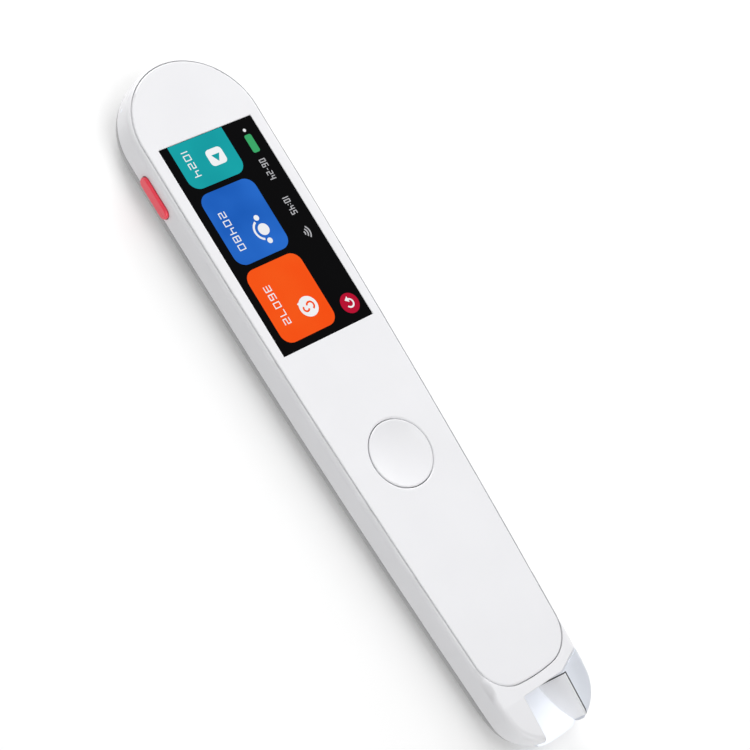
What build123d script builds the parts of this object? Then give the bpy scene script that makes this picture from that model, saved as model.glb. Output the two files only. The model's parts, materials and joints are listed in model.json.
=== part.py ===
from build123d import *
import os
from math import cos, hypot, radians, sin, sqrt

# Electronic dictionary pen, lying on its back. Millimetres.
# +X points to the scanning tip, +Y to the pen's right side, +Z out of the screen.
# The origin is on the back face, at the middle of the pen's length and width.

# Outer shape
PEN_LENGTH = 150.0
PEN_WIDTH = 29.9
PEN_THICKNESS = 10.4
SIDE_RADIUS = 2120.0
TIP_CORNER = 8.6
TIP_END_RADIUS = 42.0
BACK_EDGE_RADIUS = 5.0
FRONT_EDGE_RADIUS = 1.2
BOW_RADIUS = 18.0
BOW_LENGTH = 12.6
TIP_SLOPE_LENGTH = 10.2
TIP_SLOPE_DROP = 1.0

# Shells
SIDE_WALL = 1.3
BACK_WALL = 1.2
CAVITY_EDGE_RADIUS = 2.6
SEAM_HEIGHT = 4.6
SEAM_LIP_HEIGHT = 0.8
SEAM_LIP_THICKNESS = 0.55
SEAM_LIP_CLEARANCE = 0.05
SEAM_GROOVE_DEPTH = 0.12
SEAM_GROOVE_HEIGHT = 0.12
DECK_THICKNESS = 0.8
BULKHEAD_FROM_TIP = 13.9

# Shared clearances, and how far cutting shapes reach past what they cut
PART_GAP = 0.05
DECK_CLEARANCE = 0.1
PAST = 1.0
WALL_CUT_DEPTH = 3.0

# Front plate and what lies in it
PLATE_THICKNESS = 1.0
PLATE_RIM = 0.75
PLATE_END_FROM_TIP = 12.4
PLATE_CORNER = 7.4
PLATE_END_RADIUS = 40.0
PLATE_EDGE_RADIUS = 0.35
PLATE_GAP = 0.12
ADHESIVE_THICKNESS = 0.1
ADHESIVE_INSET = 0.5

# Screen
SCREEN_LENGTH = 46.2
SCREEN_SIDE_MARGIN = 3.35
SCREEN_WIDTH = PEN_WIDTH - 2 * SCREEN_SIDE_MARGIN
SCREEN_FROM_TOP = 16.6
GLASS_CORNER = 0.4
GLASS_RECESS = 0.04
TRAY_INSET = 0.55
TRAY_CLEARANCE = 0.15
TRAY_WALL = 0.2
TRAY_DEPTH = 2.15
PANEL_THICKNESS = 0.9
DISPLAY_FLEX_WIDTH = 8.0
FLEX_THICKNESS = 0.15

# Home button
HOME_FROM_TIP = 60.9
HOME_DIAMETER = 13.8
HOME_GAP = 0.14
HOME_DISH_DEPTH = 0.7
HOME_DISH_MARGIN = 0.25
HOME_EDGE_RADIUS = 0.2
HOME_CAP_THICKNESS = 1.4
HOME_FLANGE_WIDTH = 1.1
HOME_FLANGE_THICKNESS = 0.5
HOME_TRAVEL = 0.35
HOME_STEM_DIAMETER = 3.2
HOME_SWITCH_SIZE = 6.0
HOME_SWITCH_HEIGHT = 0.95
HOME_SWITCH_FLOOR = 0.15

# Power button
POWER_FROM_TOP = 23.7
POWER_LENGTH = 9.2
POWER_WIDTH = 2.5
POWER_HEIGHT = 6.2
POWER_STEM_HEIGHT = 7.0
POWER_PROUD = 0.65
POWER_GAP = 0.12
POWER_TRAVEL = 0.3
POWER_EDGE_RADIUS = 0.35
POWER_FLANGE_REACH = 1.2
POWER_FLANGE_WIDTH = 1.7
POWER_FLANGE_THICKNESS = 0.6
POWER_STEM_DIAMETER = 1.2
POWER_SWITCH_LENGTH = 4.7
POWER_SWITCH_DEPTH = 1.4
POWER_SWITCH_HEIGHT = 1.9

# Nose: the translucent hood at the tip, with the scanning notch in its front
NOTCH_SIDE_MARGIN = 9.65
NOTCH_WIDTH = PEN_WIDTH - 2 * NOTCH_SIDE_MARGIN
NOTCH_FROM_TIP = 10.2
NOTCH_FLOOR = 1.0
NOSE_SIDE_FROM_TIP = 12.9
NOSE_BACK_FROM_TIP = 10.8
NOSE_BACK_OFFSET = 2.5
NOSE_PROUD = 0.5
NOSE_SLIDE_GAP = 0.4
NOSE_SIDE_GAP = 0.15
NOSE_TRAVEL = 0.3
LINER_THICKNESS = 0.45
LINER_FROM_TIP = 1.0
SHADE_THICKNESS = 0.25

# Nose slider, its switch and spring
SLIDER_FROM_SIDE = 7.15
SLIDER_OFFSET = PEN_WIDTH / 2 - SLIDER_FROM_SIDE
SLIDER_WIDTH = 2.2
SLIDER_HEIGHT = 2.2
SLIDER_LOW = 2.3
SLIDER_LENGTH = 12.6
SLIDER_FROM_TIP = 9.4
SLIDER_STOP_LENGTH = 1.0
SLIDER_STOP_HEIGHT = 0.8
SLIDER_CLEARANCE = 0.1
GUIDE_WALL = 0.7
GUIDE_FROM_START = 1.0
SLIDER_PIN_DIAMETER = 1.1
TRIGGER_SWITCH_LENGTH = 4.0
TRIGGER_SWITCH_WIDTH = 3.0
TRIGGER_SWITCH_HEIGHT = 2.8
TRIGGER_DEPTH = 1.2
SPRING_LENGTH = 3.0
SPRING_DIAMETER = 1.9
SPRING_WIRE = 0.25
SPRING_TURNS = 4

# Scanner behind the notch
VIEWPORT_SIDE_MARGIN = 0.5
VIEWPORT_WIDTH = NOTCH_WIDTH - 2 * VIEWPORT_SIDE_MARGIN
VIEWPORT_LOW = 2.6
VIEWPORT_HIGH = 8.0
WINDOW_THICKNESS = 0.8
WINDOW_LAP = 0.4
OPTICAL_HEIGHT = 5.3
CAMERA_FLEX_LAP = 2.0
LENS_DIAMETER = 5.4
LENS_BARREL_LENGTH = 7.0
LENS_BASE_SIZE = 6.6
LENS_BASE_LENGTH = 3.0
LENS_GLASS_THICKNESS = 0.9
LENS_RECESS = 0.3
LENS_BORE = 4.4
SENSOR_SIZE = 4.6
SENSOR_THICKNESS = 1.1
CAMERA_BOARD_SIDE_GAP = 0.9
CAMERA_BOARD_WIDTH = 2 * (SLIDER_OFFSET - TRIGGER_SWITCH_WIDTH / 2 - CAMERA_BOARD_SIDE_GAP)
CAMERA_BOARD_THICKNESS = 0.8
CAMERA_BOARD_FROM_TIP = 29.2
LED_BOARD_SIDE_GAP = 0.8
LED_BOARD_WIDTH = 2 * (SLIDER_OFFSET - SLIDER_WIDTH / 2 - GUIDE_WALL - LED_BOARD_SIDE_GAP)
LED_BOARD_THICKNESS = 0.8
LED_BOARD_STAND_OFF = 1.6
LED_SIZE = 1.5
LED_THICKNESS = 0.7
LED_FROM_EDGE = 1.6
LED_OFFSET = LED_BOARD_WIDTH / 2 - LED_FROM_EDGE
HOLDER_WALL = 0.8
HOLDER_LIP = 0.5
HOLDER_LAP = 0.9
HOLDER_GRIP = 2.0
UPRIGHT_DROP = 1.0

# Main board
BOARD_HEIGHT = 5.2
BOARD_THICKNESS = 0.8
BOARD_SIDE_GAP = 0.5
BOARD_FROM_TOP = 3.2
BOARD_FROM_TIP = 31.0
BOSS_DIAMETER = 3.2
SCREW_DIAMETER = 1.4
SCREW_DEPTH = 3.0
SCREW_HEAD_DIAMETER = 2.6
SCREW_HEAD_HEIGHT = 0.8
SCREW_HOLE_CLEARANCE = 0.1
SCREW_END_ROOM = 0.2
SCREW_SLOT_WIDTH = 0.4
SCREW_SLOT_DEPTH = 0.3
SCREW_FROM_SIDE = 3.9
SCREW_FROM_TOP = 19.0
SCREW_FROM_BATTERY = 2.0
SCREW_FROM_BOARD_END = 2.0

# Battery
BATTERY_LENGTH = 50.0
BATTERY_SIDE_MARGIN = 4.95
BATTERY_WIDTH = PEN_WIDTH - 2 * BATTERY_SIDE_MARGIN
BATTERY_THICKNESS = 3.6
BATTERY_FROM_TOP = 23.0
BATTERY_CORNER = 1.2
TAPE_THICKNESS = 0.15
TAPE_END_INSET = 2.0
BATTERY_BOARD_THICKNESS = 1.2
LEAD_DIAMETER = 0.8
LEAD_SPACING = 1.7
PLUG_LENGTH = 4.0
PLUG_WIDTH = 5.0
PLUG_HEIGHT = 1.5
PLUG_GAP = 3.8

# Speaker and grille
GRILLE_FROM_TOP = 11.0
GRILLE_DIAMETER = 9.4
GRILLE_SLOT = 0.5
GRILLE_RINGS = 3
GRILLE_BRIDGES = 3
GRILLE_BRIDGE_WIDTH = 0.9
MESH_THICKNESS = 0.15
MESH_DIAMETER = 13.2
SPEAKER_DIAMETER = 14.4
SPEAKER_HEIGHT = 2.6
SPEAKER_WALL = 0.5
GASKET_THICKNESS = 0.4
GASKET_WIDTH = 1.2
CONE_THICKNESS = 0.2
CONE_HEIGHT = 0.3
MAGNET_DIAMETER = 8.0
MAGNET_HEIGHT = 1.4
SPEAKER_RING_THICKNESS = 0.8
SPEAKER_RING_HEIGHT = 1.9
SPEAKER_GAP = 0.15
SPEAKER_LEAD_DIAMETER = 0.5
SPEAKER_LEAD_START = 4.0
SPEAKER_LEAD_END = 9.0

# Charging socket in the top end
USB_WIDTH = 8.94
USB_HEIGHT = 3.26
USB_LENGTH = 7.3
USB_WALL = 0.3
USB_AXIS_HEIGHT = 6.6
USB_RECESS = 0.6
USB_GAP = 0.12
USB_EAR = 1.0
USB_EAR_THICKNESS = 0.3
TONGUE_WIDTH = 6.7
TONGUE_THICKNESS = 0.7
TONGUE_LENGTH = 5.0

# Microphone and status light
MIC_FROM_TOP = 37.0
MIC_HEIGHT = 6.6
MIC_HOLE = 0.9
MIC_LENGTH = 3.5
MIC_DEPTH = 2.65
MIC_THICKNESS = 1.0
MIC_GASKET_HEIGHT = 1.4
LIGHT_ANGLE = 50.0
LIGHT_HEIGHT = 6.7
LIGHT_DIAMETER = 0.9
LIGHT_LENGTH = 2.6
STATUS_LED_SIZE = 1.2

# Board components, as (distance from the top end, offset to the right, length, width, height)
SHIELD_SIDE_MARGIN = 7.95
SHIELD_WALL = 0.2
SHIELD_FROM_TIP = 43.0
PROCESSOR_FROM_TIP = 46.0
MEMORY_FROM_TIP = 38.0
SHIELD_CAN = (PEN_LENGTH - SHIELD_FROM_TIP, 0.0, 20.0, PEN_WIDTH - 2 * SHIELD_SIDE_MARGIN, 1.5)
PROCESSOR = (PEN_LENGTH - PROCESSOR_FROM_TIP, 0.0, 9.0, 9.0, 0.9)
MEMORY_CHIP = (PEN_LENGTH - MEMORY_FROM_TIP, 0.0, 5.0, 7.0, 0.9)
DISPLAY_PLUG_GAP = 3.4
DISPLAY_PLUG_ALONG = SCREEN_FROM_TOP + SCREEN_LENGTH + DISPLAY_PLUG_GAP
DISPLAY_PLUG = (DISPLAY_PLUG_ALONG, 0.0, 3.0, 9.0, 0.75)
RADIO_FROM_PLUG = 11.2
RADIO_MODULE = (DISPLAY_PLUG_ALONG - RADIO_FROM_PLUG, 0.0, 8.0, 10.0, 0.8)
STORAGE_FROM_PLUG = 22.2
STORAGE_CHIP = (DISPLAY_PLUG_ALONG - STORAGE_FROM_PLUG, 0.0, 8.0, 9.0, 0.8)
POWER_CHIP = (31.0, 3.0, 4.0, 4.0, 0.7)
PASSIVE_SIZE = (1.0, 0.5, 0.5)
PASSIVE_PITCH = 1.6
PASSIVE_COUNT = 6
PASSIVE_ROWS = [(28.0, -7.0), (40.0, 8.0), (57.0, -8.0)]

# Antenna film on the wall at the top end
ANTENNA_THICKNESS = 0.15
ANTENNA_LOW = 6.4
ANTENNA_HIGH = 8.2
ANTENNA_FROM_TOP = 18.0
ANTENNA_SIDE = 7.0

# Derived places
X_TOP = -PEN_LENGTH / 2
X_TIP = PEN_LENGTH / 2
HALF_WIDTH = PEN_WIDTH / 2
X_ROUND = X_TOP + HALF_WIDTH
Z_PLATE = PEN_THICKNESS - PLATE_THICKNESS
Z_DECK = Z_PLATE - ADHESIVE_THICKNESS
Z_DECK_LOW = Z_DECK - DECK_THICKNESS
Z_BOARD = BOARD_HEIGHT + BOARD_THICKNESS
X_CAVITY_END = X_TIP - BULKHEAD_FROM_TIP
X_NOTCH = X_TIP - NOTCH_FROM_TIP
X_SCREEN = X_TOP + SCREEN_FROM_TOP + SCREEN_LENGTH / 2
X_HOME = X_TIP - HOME_FROM_TIP
X_POWER = X_TOP + POWER_FROM_TOP
X_GRILLE = X_TOP + GRILLE_FROM_TOP
FAR = PEN_LENGTH


# Small helpers

def block(x0, x1, y0, y1, z0, z1):
    """Box between two corners."""
    size = Box(abs(x1 - x0), abs(y1 - y0), abs(z1 - z0))
    return Pos((x0 + x1) / 2, (y0 + y1) / 2, (z0 + z1) / 2) * size


def disc(x, y, z0, z1, diameter):
    """Upright cylinder between two heights."""
    return Pos(x, y, (z0 + z1) / 2) * Cylinder(diameter / 2, z1 - z0)


def rod_x(x0, x1, y, z, diameter):
    """Cylinder along the pen's length."""
    return Pos((x0 + x1) / 2, y, z) * Rot(0, 90, 0) * Cylinder(diameter / 2, x1 - x0)


def rod_y(x, y0, y1, z, diameter):
    """Cylinder across the pen."""
    return Pos(x, (y0 + y1) / 2, z) * Rot(90, 0, 0) * Cylinder(diameter / 2, y1 - y0)


def solids(pieces):
    """Separate solids kept together as one node."""
    return Compound(children=list(pieces))


def circles_meet(x1, y1, r1, x2, y2, r2):
    """Of the two points where two circles meet, the one nearer to the tip."""
    gap = hypot(x2 - x1, y2 - y1)
    along = (r1 ** 2 - r2 ** 2 + gap ** 2) / (2 * gap)
    rise = sqrt(r1 ** 2 - along ** 2)
    ux, uy = (x2 - x1) / gap, (y2 - y1) / gap
    points = [(x1 + along * ux - s * rise * uy, y1 + along * uy + s * rise * ux) for s in (1, -1)]
    return max(points)


def push(x1, y1, x2, y2, distance):
    """The point that lies a distance from the first point, in the direction of the second."""
    gap = hypot(x2 - x1, y2 - y1)
    return (x1 + (x2 - x1) / gap * distance, y1 + (y2 - y1) / gap * distance)


def arc_between(cx, cy, radius, start, end):
    """The short arc of a circle from one of its points to another."""
    middle = push(cx, cy, (start[0] + end[0]) / 2, (start[1] + end[1]) / 2, radius)
    return ThreePointArc(start, middle, end)


def half_width_at(x, inset=0.0):
    """Half of the pen's width at x, less an inset."""
    if x < X_ROUND:
        return sqrt(max((HALF_WIDTH - inset) ** 2 - (X_ROUND - x) ** 2, 0))
    return HALF_WIDTH - SIDE_RADIUS + sqrt((SIDE_RADIUS - inset) ** 2 - (x - X_ROUND) ** 2)


def outline(inset, tip=X_TIP, corner=TIP_CORNER, end_radius=TIP_END_RADIUS):
    """Plan outline: round top end, long sides that draw in, round tip corners, moved in by inset."""
    side_y = HALF_WIDTH - SIDE_RADIUS
    end_x = tip - end_radius
    cx, cy = circles_meet(X_ROUND, side_y, SIDE_RADIUS - corner, end_x, 0, end_radius - corner)
    top = (X_ROUND - HALF_WIDTH + inset, 0)
    widest = (X_ROUND, HALF_WIDTH - inset)
    shoulder = push(X_ROUND, side_y, cx, cy, SIDE_RADIUS - inset)
    toe = push(end_x, 0, cx, cy, end_radius - inset)
    half = [
        arc_between(X_ROUND, 0, HALF_WIDTH - inset, top, widest),
        arc_between(X_ROUND, side_y, SIDE_RADIUS - inset, widest, shoulder),
        arc_between(cx, cy, corner - inset, shoulder, toe),
        arc_between(end_x, 0, end_radius - inset, toe, (tip - inset, 0)),
    ]
    return make_face(half + [mirror(edge, about=Plane.XZ) for edge in half])


def rim_edges(solid, up):
    """Edges around the faces that look up, or down."""
    sign = 1 if up else -1
    flats = [f for f in solid.faces() if sign * f.normal_at(f.center()).Z > 0.3]
    edges = [e for f in flats for e in f.edges()]
    return [e for e in edges if sum(e.is_same(other) for other in edges) == 1]


def side_profile():
    """Side view of the pen: flat back that curves up at the tip, front that slopes down there."""
    bow_x = X_TIP - BOW_LENGTH
    past = X_TIP + PAST
    lift = BOW_RADIUS - sqrt(BOW_RADIUS ** 2 - (past - bow_x) ** 2)
    slope_x = X_TIP - TIP_SLOPE_LENGTH
    drop = TIP_SLOPE_DROP * (past - slope_x) / TIP_SLOPE_LENGTH
    before = X_TOP - PAST
    lines = [
        Line((before, 0), (bow_x, 0)),
        arc_between(bow_x, BOW_RADIUS, BOW_RADIUS, (bow_x, 0), (past, lift)),
        Line((past, lift), (past, PEN_THICKNESS - drop)),
        Line((past, PEN_THICKNESS - drop), (slope_x, PEN_THICKNESS)),
        Line((slope_x, PEN_THICKNESS), (before, PEN_THICKNESS)),
        Line((before, PEN_THICKNESS), (before, 0)),
    ]
    return Plane.XZ * make_face(lines)


def pen_envelope(tip):
    """The pen's whole outer shape, up to a tip, from which the shells and the nose are cut."""
    body = extrude(outline(0, tip), PEN_THICKNESS)
    body &= extrude(side_profile(), PEN_WIDTH, both=True)
    body = fillet(rim_edges(body, up=False), BACK_EDGE_RADIUS)
    return fillet(rim_edges(body, up=True), FRONT_EDGE_RADIUS)


def cavity():
    """The hollow inside the shells, up to the deck under the front plate."""
    body = extrude(Pos(0, 0, BACK_WALL) * outline(SIDE_WALL), Z_DECK_LOW - BACK_WALL)
    body = fillet(rim_edges(body, up=False), CAVITY_EDGE_RADIUS)
    return body & block(-FAR, X_CAVITY_END, -FAR, FAR, -FAR, FAR)


# The nose's region in plan

def prism(points, low, high):
    """Upright prism over a polygon."""
    return extrude(Pos(0, 0, low) * make_face(Polyline(*points, close=True)), high - low)


def nose_region_front(gap=0.0):
    """What the nose takes of the front half: the notch and the right side of the tip."""
    half = NOTCH_WIDTH / 2
    slide = NOSE_SLIDE_GAP if gap else 0.0
    side_x = X_TIP - NOSE_SIDE_FROM_TIP
    points = [
        (side_x + slide, HALF_WIDTH + PAST),
        (side_x + slide, half_width_at(side_x)),
        (X_NOTCH + slide, half),
        (X_NOTCH + slide, gap - half),
        (X_TIP + PAST, gap - half),
        (X_TIP + PAST, HALF_WIDTH + PAST),
    ]
    return prism(points, SEAM_HEIGHT, PEN_THICKNESS + PAST)


def nose_region_back(gap=0.0):
    """What the nose takes of the back half: its skin reaches farther back than the rest of it."""
    half = NOTCH_WIDTH / 2
    slide = NOSE_SLIDE_GAP if gap else 0.0
    side_x = X_TIP - NOSE_SIDE_FROM_TIP + slide
    back_x = X_TIP - NOSE_BACK_FROM_TIP + slide
    end_x = X_TIP + PAST
    fall = (half - NOSE_BACK_OFFSET) / (end_x - back_x)
    side = [(end_x, gap - half), (end_x, HALF_WIDTH + PAST), (side_x, HALF_WIDTH + PAST),
            (side_x, half_width_at(side_x - slide))]
    skin = side + [(back_x, gap - NOSE_BACK_OFFSET)]
    notch_x = X_NOTCH + slide
    bulk = side + [(notch_x, half), (notch_x, gap - NOSE_BACK_OFFSET - fall * (notch_x - back_x))]
    level = NOTCH_FLOOR - gap
    return prism(skin, -PAST, level) + prism(bulk, level, SEAM_HEIGHT)


def notch_space():
    """The scanning notch: open to the front and the tip, over a floor that curves up with the back."""
    bow_x = X_TIP - BOW_LENGTH
    radius = BOW_RADIUS - NOTCH_FLOOR
    past = X_TIP + PAST
    floor = BOW_RADIUS - sqrt(radius ** 2 - (past - bow_x) ** 2)
    start = BOW_RADIUS - sqrt(radius ** 2 - (X_NOTCH - bow_x) ** 2)
    above = PEN_THICKNESS + PAST
    lines = [
        arc_between(bow_x, BOW_RADIUS, radius, (X_NOTCH, start), (past, floor)),
        Line((past, floor), (past, above)),
        Line((past, above), (X_NOTCH, above)),
        Line((X_NOTCH, above), (X_NOTCH, start)),
    ]
    return extrude(Plane.XZ * make_face(lines), NOTCH_WIDTH / 2, both=True)


# Openings shared by the shells

def viewport():
    """The scanner's opening through the bulkhead, with the pocket of its window."""
    half = VIEWPORT_WIDTH / 2
    lap = WINDOW_LAP + PART_GAP
    hole = block(X_CAVITY_END - PAST, X_NOTCH + PAST, -half, half, VIEWPORT_LOW, VIEWPORT_HIGH)
    pocket = block(X_NOTCH - WINDOW_THICKNESS, X_NOTCH + PAST, -half - lap, half + lap,
                   VIEWPORT_LOW - lap, VIEWPORT_HIGH + lap)
    return hole + pocket


def slider_slot():
    """The slider's way through the bulkhead."""
    half = SLIDER_WIDTH / 2 + SLIDER_CLEARANCE
    low = SLIDER_LOW - SLIDER_CLEARANCE
    high = SLIDER_LOW + SLIDER_HEIGHT + SLIDER_CLEARANCE
    return block(X_CAVITY_END - PAST, X_TIP, SLIDER_OFFSET - half, SLIDER_OFFSET + half, low, high)


def stadium_x(x0, x1, z, width, height):
    """Slot-shaped bar along the pen's length, wider than high."""
    face = Plane(origin=(x0, 0, z), x_dir=(0, 1, 0), z_dir=(1, 0, 0)) * SlotOverall(width, height)
    return extrude(face, x1 - x0)


def stadium_y(x, y0, y1, z, length, height):
    """Slot-shaped bar across the pen, its long side along the pen."""
    face = Plane(origin=(x, y0, z), x_dir=(1, 0, 0), z_dir=(0, 1, 0)) * SlotOverall(length, height)
    return extrude(face, y1 - y0)


def light_bar(near, far, diameter):
    """Round bar along the status light's axis, between two distances from the round end's centre."""
    angle = radians(LIGHT_ANGLE)
    direction = (-cos(angle), -sin(angle), 0)
    start = (X_ROUND + near * direction[0], near * direction[1], LIGHT_HEIGHT)
    return extrude(Plane(origin=start, z_dir=direction) * Circle(diameter / 2), far - near)


def wall_openings():
    """Everything that passes through the side walls: socket, power button, light and microphone."""
    mic_x = X_TOP + MIC_FROM_TOP
    return [
        stadium_x(X_TOP - PAST, X_TOP + WALL_CUT_DEPTH, USB_AXIS_HEIGHT, USB_WIDTH + 2 * USB_GAP,
                  USB_HEIGHT + 2 * USB_GAP),
        stadium_y(X_POWER, -HALF_WIDTH - PAST, WALL_CUT_DEPTH - HALF_WIDTH, POWER_HEIGHT,
                  POWER_LENGTH + 2 * POWER_GAP, POWER_WIDTH + 2 * POWER_GAP),
        light_bar(HALF_WIDTH - WALL_CUT_DEPTH, HALF_WIDTH + PAST, LIGHT_DIAMETER),
        rod_y(mic_x, HALF_WIDTH - WALL_CUT_DEPTH, HALF_WIDTH + PAST, MIC_HEIGHT, MIC_HOLE),
    ]


# Casing

def seam_lip(clearance):
    """The ring that stands up from the back cover and locates the front frame."""
    outer = SIDE_WALL - SEAM_LIP_THICKNESS - clearance
    ring = extrude(Pos(0, 0, SEAM_HEIGHT) * outline(outer), SEAM_LIP_HEIGHT + clearance)
    ring -= extrude(Pos(0, 0, SEAM_HEIGHT) * outline(SIDE_WALL), SEAM_LIP_HEIGHT + clearance)
    return ring & block(-FAR, X_CAVITY_END, -FAR, FAR, -FAR, FAR)


def seam_groove():
    """Fine groove around the outside, where the frame meets the back cover."""
    ring = extrude(Pos(0, 0, SEAM_HEIGHT) * outline(-PAST), SEAM_GROOVE_HEIGHT)
    inner = outline(SEAM_GROOVE_DEPTH, X_TIP - NOSE_PROUD)
    return ring - extrude(Pos(0, 0, SEAM_HEIGHT) * inner, SEAM_GROOVE_HEIGHT)


def screen_opening():
    """Hole in the deck for the display's tray."""
    length = SCREEN_LENGTH - 2 * TRAY_INSET + 2 * TRAY_CLEARANCE
    width = SCREEN_WIDTH - 2 * TRAY_INSET + 2 * TRAY_CLEARANCE
    return Pos(X_SCREEN, 0, 0) * Box(length, width, 2 * Z_PLATE)


def plate_outline(inset):
    """Outline of the front plate, moved in by inset."""
    end = X_TIP - PLATE_END_FROM_TIP
    return outline(PLATE_RIM + inset, end + PLATE_RIM, PLATE_CORNER + PLATE_RIM,
                   PLATE_END_RADIUS + PLATE_RIM)


def front_frame(envelope, hollow):
    """White frame: side walls, the deck that carries the front plate, and the tip's left lobe."""
    body = envelope & block(-FAR, FAR, -FAR, FAR, SEAM_HEIGHT, FAR)
    body -= hollow
    body -= extrude(Pos(0, 0, Z_DECK) * plate_outline(-PLATE_GAP), PEN_THICKNESS)
    body -= screen_opening()
    body -= disc(X_HOME, 0, 0, PEN_THICKNESS, HOME_DIAMETER + 2 * HOME_GAP)
    body -= seam_lip(SEAM_LIP_CLEARANCE)
    body -= seam_groove()
    body -= nose_region_front()
    body -= viewport()
    for opening in wall_openings():
        body -= opening
    return body


def grille_slots():
    """Concentric arc slots through the back wall, parted by bridges that turn from ring to ring."""
    pitch = (GRILLE_DIAMETER - GRILLE_SLOT) / 2 / GRILLE_RINGS
    low, high = -PAST, BACK_WALL + PAST
    cuts = disc(X_GRILLE, 0, low, high, 2 * GRILLE_SLOT)
    for ring in range(1, GRILLE_RINGS + 1):
        radius = ring * pitch
        slot = disc(X_GRILLE, 0, low, high, 2 * radius + GRILLE_SLOT)
        slot -= disc(X_GRILLE, 0, low, high, 2 * radius - GRILLE_SLOT)
        for bridge in range(GRILLE_BRIDGES):
            turn = 360 / GRILLE_BRIDGES * (bridge + ring / 2)
            arm = Pos(radius, 0, 0) * Box(2 * pitch, GRILLE_BRIDGE_WIDTH, 2 * high)
            slot -= Pos(X_GRILLE, 0, 0) * Rot(0, 0, turn) * arm
        cuts += slot
    return cuts


def screw_places():
    """Places of the board screws: pairs at the top, past the battery and at the board's end."""
    battery_end = battery_start() + BATTERY_LENGTH + BATTERY_BOARD_THICKNESS
    along = (X_TOP + SCREW_FROM_TOP, battery_end + SCREW_FROM_BATTERY,
             X_TIP - BOARD_FROM_TIP - SCREW_FROM_BOARD_END)
    return [(x, side * (half_width_at(x) - SCREW_FROM_SIDE)) for x in along for side in (1, -1)]


def boss_tower(x, y):
    """Screw boss, with its pilot hole."""
    pilot = disc(x, y, BOARD_HEIGHT - SCREW_DEPTH, BOARD_HEIGHT + PAST, SCREW_DIAMETER)
    return disc(x, y, BACK_WALL / 2, BOARD_HEIGHT, BOSS_DIAMETER) - pilot


def speaker_ring():
    """Wall around the speaker's place."""
    inner = SPEAKER_DIAMETER + 2 * SPEAKER_GAP
    top = BACK_WALL + SPEAKER_RING_HEIGHT
    ring = disc(X_GRILLE, 0, BACK_WALL / 2, top, inner + 2 * SPEAKER_RING_THICKNESS)
    return ring - disc(X_GRILLE, 0, BACK_WALL, top + PAST, inner)


def upright_low():
    """Lower edge of the boards that stand upright behind the bulkhead."""
    return VIEWPORT_LOW - UPRIGHT_DROP


def upright_holder(x, thickness, width):
    """Two slotted posts that hold an upright board by its sides."""
    posts = []
    for side in (1, -1):
        y0 = side * (width / 2 - HOLDER_LIP)
        y1 = side * (width / 2 + HOLDER_WALL)
        post = block(x - HOLDER_LAP, x + thickness + HOLDER_LAP, y0, y1, BACK_WALL / 2, SEAM_HEIGHT)
        slot = block(x - PART_GAP, x + thickness + PART_GAP, side * (width / 2 - HOLDER_GRIP),
                     side * (width / 2 + PART_GAP), upright_low(), FAR)
        posts.append(post - slot)
    return posts


def slider_x_start():
    """Where the slider bar begins, behind the nose."""
    return X_TIP - SLIDER_FROM_TIP - SLIDER_LENGTH


def slider_guide():
    """Floor and two walls that the slider runs between, and the pad of its switch."""
    half = SLIDER_WIDTH / 2 + SLIDER_CLEARANCE
    start = slider_x_start()
    floor = SLIDER_LOW - SLIDER_CLEARANCE
    wide = half + GUIDE_WALL
    ways = block(start + GUIDE_FROM_START, X_CAVITY_END, SLIDER_OFFSET - wide, SLIDER_OFFSET + wide,
                 BACK_WALL / 2, SEAM_HEIGHT)
    ways -= block(start, X_CAVITY_END + PAST, SLIDER_OFFSET - half, SLIDER_OFFSET + half, floor, FAR)
    pad_end = start - SPRING_LENGTH
    pad = block(pad_end - TRIGGER_SWITCH_LENGTH, pad_end, SLIDER_OFFSET - TRIGGER_SWITCH_WIDTH / 2,
                SLIDER_OFFSET + TRIGGER_SWITCH_WIDTH / 2, BACK_WALL / 2, trigger_low())
    return ways + pad


def seats():
    """What stands up inside the back cover: bosses, speaker ring, board holders and slider guide."""
    made = speaker_ring() + slider_guide()
    for x, y in screw_places():
        made += boss_tower(x, y)
    for post in upright_holder(camera_board_x(), CAMERA_BOARD_THICKNESS, CAMERA_BOARD_WIDTH):
        made += post
    for post in upright_holder(led_board_x(), LED_BOARD_THICKNESS, LED_BOARD_WIDTH):
        made += post
    return made


def back_cover(envelope, hollow):
    """Silver back shell with the grille and the seats of what lies in it."""
    body = envelope & block(-FAR, FAR, -FAR, FAR, -PAST, SEAM_HEIGHT)
    body -= hollow
    body += seats() & envelope
    body += seam_lip(0)
    body -= grille_slots()
    body -= nose_region_back()
    body -= notch_space()
    body -= viewport()
    body -= slider_slot()
    for opening in wall_openings():
        body -= opening
    return body


def front_plate():
    """White cover plate, with the screen's and the button's openings."""
    body = extrude(Pos(0, 0, Z_PLATE) * plate_outline(0), PLATE_THICKNESS)
    body -= disc(X_HOME, 0, 0, PEN_THICKNESS + PAST, HOME_DIAMETER + 2 * HOME_GAP)
    body = fillet(rim_edges(body, up=True), PLATE_EDGE_RADIUS)
    return body - Pos(X_SCREEN, 0, PEN_THICKNESS) * Box(SCREEN_LENGTH, SCREEN_WIDTH, 3 * PLATE_THICKNESS)


def plate_adhesive():
    """Film that holds the plate and the screen glass to the deck."""
    body = extrude(Pos(0, 0, Z_DECK) * plate_outline(ADHESIVE_INSET), ADHESIVE_THICKNESS)
    body -= screen_opening()
    return body - disc(X_HOME, 0, 0, PEN_THICKNESS, HOME_DIAMETER + 2 * HOME_GAP + 2 * ADHESIVE_INSET)


# Display

def screen_glass():
    """Black cover glass, a hair below the plate's face."""
    plan = Rectangle(SCREEN_LENGTH - 2 * PART_GAP, SCREEN_WIDTH - 2 * PART_GAP)
    plan = fillet(plan.vertices(), GLASS_CORNER)
    return extrude(Pos(X_SCREEN, 0, Z_PLATE) * plan, PLATE_THICKNESS - GLASS_RECESS)


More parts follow.
